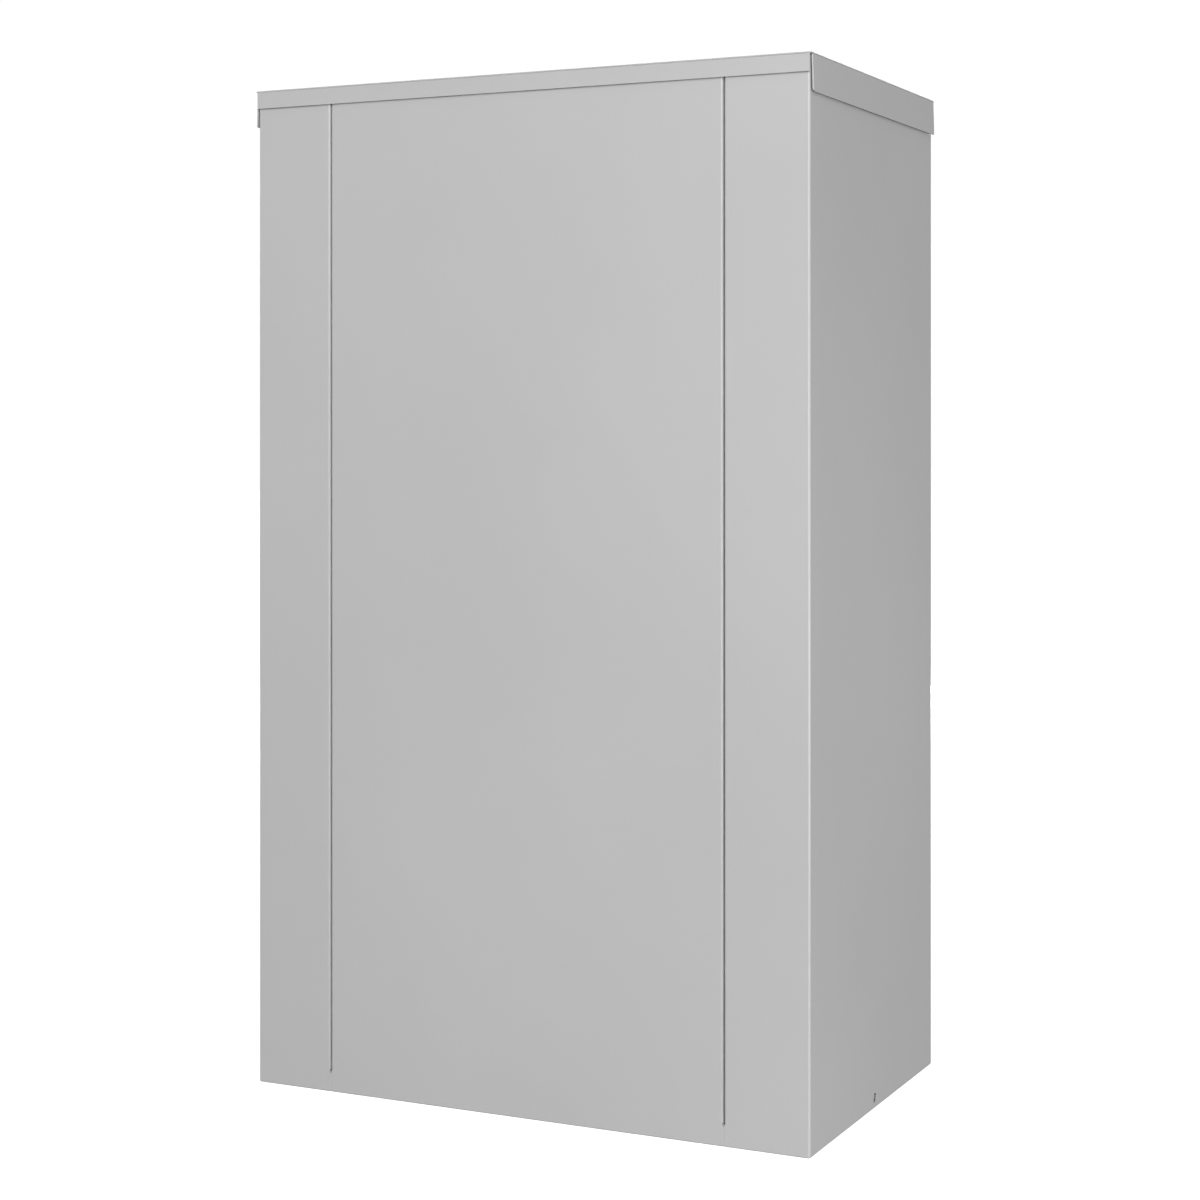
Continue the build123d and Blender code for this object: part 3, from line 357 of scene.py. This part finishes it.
def rounded(bm, width):
    """The surfaces with every sharp edge rounded to that width."""
    mesh = bpy.data.meshes.new("flat_surface")
    bm.to_mesh(mesh)
    bm.free()
    carrier = bpy.data.objects.new("carrier", mesh)
    scene.collection.objects.link(carrier)
    bevel = carrier.modifiers.new("edges", "BEVEL")
    bevel.width = width
    bevel.segments = 2
    bevel.limit_method = "ANGLE"
    bevel.angle_limit = math.radians(EDGE_ANGLE)
    bevel.use_clamp_overlap = False
    bevel.harden_normals = False
    graph = bpy.context.evaluated_depsgraph_get()
    result = bpy.data.meshes.new_from_object(carrier.evaluated_get(graph))
    bpy.data.objects.remove(carrier)
    keep_near(result, mesh, width)
    return result


def keep_near(mesh, source, width):
    """Brings back any corner that the rounding threw off the source's surface."""
    tree = BVHTree.FromPolygons([v.co for v in source.vertices], [p.vertices for p in source.polygons])
    for vertex in mesh.vertices:
        place, _, _, distance = tree.find_nearest(vertex.co)
        if distance > width * OFF_SURFACE:
            vertex.co = place


def show(name, mesh, body, slot, material=None):
    """Adds a mesh as a piece that rides on a body."""
    mesh.materials.clear()
    mesh.materials.append(material or FINISHES[slot])
    mesh.shade_smooth()
    mesh.set_sharp_from_angle(angle=math.radians(SMOOTH_ANGLE))
    piece = bpy.data.objects.new(name, mesh)
    scene.collection.objects.link(piece)
    weigh = piece.modifiers.new("flat_faces_rule", "WEIGHTED_NORMAL")
    weigh.keep_sharp = True
    piece.data = bpy.data.meshes.new_from_object(piece.evaluated_get(bpy.context.evaluated_depsgraph_get()))
    piece.modifiers.clear()
    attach(piece, body)
    return piece


def finish_node(name, width):
    """A copy of a node with rounded edges, shown in its place."""
    mesh = rounded(flat_faces(nodes[name].data), width)
    piece = show(name + "_finished", mesh, nodes[name]["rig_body"], slot_of[name])
    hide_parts(name)


def finish_sheets(name, names, width):
    """One piece for nodes that are a single folded sheet."""
    first = names[0]
    piece = show(name, rounded(joined(names), width), nodes[first]["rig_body"], slot_of[first])
    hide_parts(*names)


def dress_node(name):
    """Keeps the CAD node and gives it its finish."""
    node = nodes[name]
    node.data.materials.clear()
    node.data.materials.append(FINISHES[slot_of[name]])


SHEET_EDGE = 0.35
EDGE_GROUPS = {
    SHEET_EDGE: ["rear_panel", "lid", "bottom_front_rail", "top_front_rail",
                 "floor_pan", "door_panel", "door_stiffeners", "mounting_plate", "gland_plate"],
    0.3: ["hinge_frame_leaves", "hinge_door_leaves", "lock_housings", "lower_lock_cam", "upper_lock_cam",
          "breaker_1", "breaker_2", "breaker_3", "breaker_4", "neutral_bar", "earth_bar", "duct_covers"],
    0.5: ["document_pocket", "main_breaker_case", "main_breaker_cover", "main_breaker_toggle",
          "breaker_1_toggle", "breaker_2_toggle", "breaker_3_toggle", "breaker_4_toggle",
          "busbar_1", "busbar_2", "busbar_3", "busbar_supports", "bar_insulators",
          "cable_entry_plugs", "terminal_blocks"],
    1.2: ["door_gasket"],
}
EDGE_WIDTHS = {node: width * MM for width, group in EDGE_GROUPS.items() for node in group}
SIDE_SHEETS = ["left_side_panel", "right_side_panel", "rear_stiles", "front_stiles"]

finish_sheets("side_sheets_finished", SIDE_SHEETS, SHEET_EDGE * MM)
for node_name in nodes:
    if node_name in EDGE_WIDTHS:
        finish_node(node_name, EDGE_WIDTHS[node_name])
    elif node_name not in SIDE_SHEETS:
        dress_node(node_name)


# ---------------------------------------------------------------- small parts that the CAD model leaves plain
def middle(node):
    """The centre of a CAD node's box."""
    low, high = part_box(node)
    return (Vector(low) + Vector(high)) / 2


HEAD_SIDES = 24
HEAD_RINGS = [(1.0, 0.0), (1.0, 0.55), (0.93, 0.82), (0.78, 1.0)]    # (share of radius, share of height)
ARM_REACH, HUB_REACH = 0.62, 0.16                                    # the recess, as shares of the radius
ARM_COSINE = 0.93                                                    # how narrow the recess's arms are


def ring(bm, place, radius, y, sides):
    """A ring of vertices round an axis along Y, at that depth."""
    turns = [math.tau * step / sides for step in range(sides)]
    return [bm.verts.new((place[0] + radius * math.cos(turn), y, place[2] + radius * math.sin(turn)))
            for turn in turns]


def band(bm, first, second):
    """Faces between two rings with the same number of vertices."""
    count = len(first)
    for step in range(count):
        ahead = (step + 1) % count
        bm.faces.new((first[step], first[ahead], second[ahead], second[step]))


def turned_head(bm, place, radius, height, arms=4):
    """A domed screw head that faces the door side, with a cross (4 arms) or slot (2 arms) sunk into it."""
    x, y, z = place
    loops = [ring(bm, place, radius * reach, y - height * rise, HEAD_SIDES) for reach, rise in HEAD_RINGS]
    for first, second in zip(loops, loops[1:]):
        band(bm, first, second)
    bm.faces.new(reversed(loops[0]))
    recess = []
    for step in range(HEAD_SIDES):
        turn = math.tau * step / HEAD_SIDES
        on_arm = abs(math.cos(turn * arms / 2)) > ARM_COSINE
        reach = radius * (ARM_REACH if on_arm else HUB_REACH)
        recess.append(bm.verts.new((x + reach * math.cos(turn), y - height, z + reach * math.sin(turn))))
    sunk = [bm.verts.new((v.co.x, y - height / 2, v.co.z)) for v in recess]
    band(bm, loops[-1], recess)
    band(bm, recess, sunk)
    bm.faces.new(sunk)


def pad(bm, low, high, edge):
    """A block with rounded edges between two corners."""
    verts = bmesh.ops.create_cube(bm, size=1.0)["verts"]
    low, high = Vector(low), Vector(high)
    for vertex in verts:
        vertex.co = Vector([low[k] + (high[k] - low[k]) * (vertex.co[k] + 0.5) for k in range(3)])
    edges = list({e for v in verts for e in v.link_edges})
    bmesh.ops.bevel(bm, geom=edges, offset=edge, segments=3, profile=0.5, affect="EDGES", clamp_overlap=True)


def piece_from(name, bm, body, slot, material=None):
    """Turns mesh-building work into a piece that rides on a body."""
    mesh = bpy.data.meshes.new(name)
    bmesh.ops.recalc_face_normals(bm, faces=bm.faces)
    bm.to_mesh(mesh)
    bm.free()
    return show(name, mesh, body, slot, material)


BREAKERS = ["breaker_1", "breaker_2", "breaker_3", "breaker_4"]
POLE = 18 * MM              # from one pole of a breaker to the next
SHOULDER = 16 * MM          # the terminal shoulders behind a breaker's nose
CLAMP_RISE = 33 * MM        # clamp screws above and below a breaker's middle
PLATE_SINK, PLATE_PROUD = 0.25 * MM, 0.3 * MM
PLATE_HALF = 7.2 * MM
PLATE_SPANS = [(9.5 * MM, 20.5 * MM), (-20 * MM, -13.5 * MM)]    # heights of rating plate and marker strip


def breaker_screws():
    """Clamp screws inside the terminal holes of every pole."""
    bm = bmesh.new()
    for node in BREAKERS:
        centre = middle(node)
        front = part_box(node)[0][1] + SHOULDER
        for step in (-1, 0, 1):
            for rise in (-CLAMP_RISE, CLAMP_RISE):
                place = (centre.x + step * POLE, front + 4.6 * MM, centre.z + rise)
                turned_head(bm, place, 2.7 * MM, 2.2 * MM)
    piece_from("breaker_terminal_screws", bm, "cabinet", "zinc_steel")


def breaker_plates():
    """A blank rating plate on the nose of every breaker, and a blank marker strip below its levers."""
    bm = bmesh.new()
    for node in BREAKERS:
        centre = middle(node)
        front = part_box(node)[0][1]
        for low_z, high_z in PLATE_SPANS:
            for step in (-1, 0, 1):
                x = centre.x + step * POLE
                pad(bm, (x - PLATE_HALF, front - PLATE_SINK, centre.z + low_z),
                    (x + PLATE_HALF, front + PLATE_PROUD, centre.z + high_z), 0.12 * MM)
    piece_from("breaker_blank_plates", bm, "cabinet", "case_plastic", BLANK_PLATE)


def rail_clips():
    """The sliding clip under each breaker that holds it on the rail."""
    bm = bmesh.new()
    for node in BREAKERS:
        low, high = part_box(node)
        for step in (-1, 0, 1):
            x = (low[0] + high[0]) / 2 + step * POLE
            pad(bm, (x - 4 * MM, high[1] - 15 * MM, low[2] - 2.6 * MM),
                (x + 4 * MM, high[1] - 3 * MM, low[2] + 0.5 * MM), 0.5 * MM)
            pad(bm, (x - 2.2 * MM, high[1] - 19 * MM, low[2] - 1.8 * MM),
                (x + 2.2 * MM, high[1] - 14 * MM, low[2] + 0.2 * MM), 0.4 * MM)
    piece_from("breaker_rail_clips", bm, "cabinet", "handle_plastic")


SCREW_INSET = 9 * MM        # main breaker's screws, from the edges of its cover and case
COVER_STEP = 8 * MM         # the cover's face in front of the case
MAIN_POLE = 35 * MM         # from one pole of the main breaker to the next
CLAMP_SCREW_Y = 107 * MM    # Y of the undersides of its clamp screws


def main_breaker_details():
    """Cover screws, blank rating plate and the clamp screws in the terminal recesses."""
    low, high = (Vector(v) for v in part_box("main_breaker_cover"))
    case_low, case_high = (Vector(v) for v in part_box("main_breaker_case"))
    face = case_low.y - COVER_STEP
    bm = bmesh.new()
    for x in (low.x + SCREW_INSET, high.x - SCREW_INSET):
        for z in (low.z + SCREW_INSET, high.z - SCREW_INSET):
            turned_head(bm, (x, face + 0.2 * MM, z), 3.4 * MM, 1.6 * MM)
    for x in (-MAIN_POLE, 0.0, MAIN_POLE):
        for z in (case_low.z + SCREW_INSET, case_high.z - SCREW_INSET):
            turned_head(bm, (x, CLAMP_SCREW_Y, z), 6.2 * MM, 4.5 * MM)
    piece_from("main_breaker_screws", bm, "cabinet", "zinc_steel")
    bm = bmesh.new()
    pad(bm, (low.x + 20 * MM, face - PLATE_SINK, low.z + 5 * MM),
        (high.x - 20 * MM, face + PLATE_PROUD, low.z + 17 * MM), 0.15 * MM)
    piece_from("main_breaker_blank_plate", bm, "cabinet", "case_plastic", BLANK_PLATE)


TERMINAL_BLOCKS = 16
BLOCK_GAP = 0.3 * MM
TERMINAL_RISE = 8 * MM      # screws above and below a block's middle


def terminal_details():
    """Screws in the terminal holes and a blank marker tag between them on every block."""
    low, high = (Vector(v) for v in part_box("terminal_blocks"))
    pitch = (high.x - low.x + BLOCK_GAP) / TERMINAL_BLOCKS
    centre_z = (low.z + high.z) / 2
    screws, tags = bmesh.new(), bmesh.new()
    for step in range(TERMINAL_BLOCKS):
        x = low.x + pitch * (step + 0.5) - BLOCK_GAP / 2
        for rise in (-TERMINAL_RISE, TERMINAL_RISE):
            turned_head(screws, (x, low.y + 3.6 * MM, centre_z + rise), 2.0 * MM, 1.4 * MM, arms=2)
        pad(tags, (x - 2.7 * MM, low.y - 0.5 * MM, centre_z - 3 * MM),
            (x + 2.7 * MM, low.y + 0.4 * MM, centre_z + 3 * MM), 0.25 * MM)
    piece_from("terminal_screws", screws, "cabinet", "zinc_steel")
    piece_from("terminal_blank_tags", tags, "cabinet", "case_plastic", BLANK_PLATE)


CHANNEL_SHEET = 1.2 * MM    # thickness of the hat channels on the door
CHANNEL_X = 150 * MM        # their middles, either side of the door's
FLANGE_X = 16 * MM          # middles of a channel's flanges, either side of its own
WELDS_PER_ROW = 9
WELD_END = 25 * MM          # from a channel's end to its first weld
WELD_RADIUS, WELD_RISE = 2.9 * MM, 0.22 * MM
WELD_SIDES = 20


def stiffener_welds():
    """Spot welds that hold the hat channels to the door skin, painted over."""
    bm = bmesh.new()
    low, high = (Vector(v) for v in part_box("door_stiffeners"))
    pitch = (high.z - low.z - 2 * WELD_END) / (WELDS_PER_ROW - 1)
    for side in (-1, 1):
        for flange in (-FLANGE_X, FLANGE_X):
            for step in range(WELDS_PER_ROW):
                spot(bm, (side * CHANNEL_X + flange, low.y + CHANNEL_SHEET, low.z + WELD_END + pitch * step))
    piece_from("door_spot_welds", bm, "door", "painted_steel")


def spot(bm, place):
    """A low dished dot that faces the inside of the cabinet."""
    profile = ((1.0, -0.05 * MM), (0.92, WELD_RISE), (0.72, WELD_RISE * 0.9), (0.45, WELD_RISE * 0.15))
    loops = [ring(bm, place, WELD_RADIUS * reach, place[1] + height, WELD_SIDES) for reach, height in profile]
    for first, second in zip(loops, loops[1:]):
        band(bm, first, second)
    bm.faces.new(loops[-1])
    bm.faces.new(reversed(loops[0]))


BLANK_PLATE = moulded("blank_plate", (0.74, 0.75, 0.75), (0.70, 0.71, 0.71),
                      rough=(0.30, 0.42), grain=1800.0, depth=0.00001)
breaker_screws()
breaker_plates()
rail_clips()
main_breaker_details()
terminal_details()
stiffener_welds()


# ---------------------------------------------------------------- studio
def studio_white(name, reflectance, glow):
    """A plain white surface that also gives off a little light of its own."""
    material = bpy.data.materials.new(name)
    material.use_nodes = True
    set_inputs(material.node_tree.nodes["Principled BSDF"], {
        "Base Color": (reflectance, reflectance, reflectance, 1), "Roughness": 1.0, "Specular IOR Level": 0.0,
        "Emission Color": (1, 1, 1, 1), "Emission Strength": glow})
    return material


def floor():
    """A round pale floor. It glows, so that it stays white to the horizon and shadows on it stay faint."""
    bm = bmesh.new()
    bmesh.ops.create_circle(bm, cap_ends=True, segments=96, radius=STUDIO_RADIUS)
    stage_piece("studio_floor", bm, studio_white("floor_paper", 0.80, 0.92))


def backdrop():
    """A white dome that meets the floor at the horizon."""
    bm = bmesh.new()
    bmesh.ops.create_uvsphere(bm, u_segments=48, v_segments=24, radius=STUDIO_RADIUS * 0.98)
    stage_piece("studio_backdrop", bm, studio_white("backdrop_paper", 0.0, 1.02))


def stage_piece(name, bm, material):
    """Floor and backdrop are seen by the camera only: the lights and the world do all the lighting."""
    mesh = bpy.data.meshes.new(name)
    bm.to_mesh(mesh)
    bm.free()
    mesh.materials.append(material)
    piece = bpy.data.objects.new(name, mesh)
    scene.collection.objects.link(piece)
    piece.visible_diffuse = False
    piece.visible_glossy = False
    piece.visible_transmission = False
    piece.visible_shadow = False


def soft_light(name, place, aim, size, power):
    """A rectangular area light, its size in metres and its power in watts."""
    data = bpy.data.lights.new(name, "AREA")
    data.shape = "RECTANGLE"
    data.size, data.size_y = size
    data.energy = power
    light = bpy.data.objects.new(name, data)
    light.location = place
    light.rotation_euler = (Vector(aim) - Vector(place)).to_track_quat("-Z", "Y").to_euler()
    scene.collection.objects.link(light)


def world():
    """A weak white light from all around."""
    background = bpy.data.worlds.new("studio")
    background.use_nodes = True
    set_inputs(background.node_tree.nodes["Background"], {"Color": (1, 1, 1, 1), "Strength": 0.20})
    scene.world = background


def camera():
    """A level camera behind the cabinet's left rear corner, with the lens shifted to frame it."""
    data = bpy.data.cameras.new("camera")
    data.sensor_width = 36.0
    data.lens = 70.04
    data.shift_x = -0.0437
    data.shift_y = -0.1423
    data.clip_end = 100
    piece = bpy.data.objects.new("camera", data)
    piece.location = (-1.0574, 2.1458, 0.6590)
    piece.rotation_euler = Vector((0.42176, -0.9067, 0.0)).to_track_quat("-Z", "Y").to_euler()
    scene.collection.objects.link(piece)
    scene.camera = piece


STUDIO_RADIUS = 24.0
floor()
backdrop()
world()
camera()
soft_light("key", (-2.2, 3.6, 1.3), (0.0, 0.0, 0.6), (2.0, 2.0), 67)
soft_light("rear_fill", (-0.4, 4.2, 1.5), (0.0, 0.0, 0.6), (2.4, 2.4), 34.7)
soft_light("rear_top", (-0.1, 3.8, 3.2), (0.0, 0.0, 0.6), (2.4, 2.4), 32)
soft_light("side_low", (-2.6, 0.6, 0.12), (0.0, 0.0, 0.1), (2.4, 0.5), 23.6)
soft_light("door_key", (1.4, -3.4, 1.7), (0.0, 0.0, 0.5), (2.0, 2.0), 60)
soft_light("door_fill", (0.4, -3.6, 0.7), (0.0, 0.0, 0.5), (1.0, 1.4), 26)
soft_light("right_fill", (3.4, 0.0, 1.4), (0.0, 0.0, 0.5), (2.0, 2.0), 22)
scene.view_settings.view_transform = "Standard"
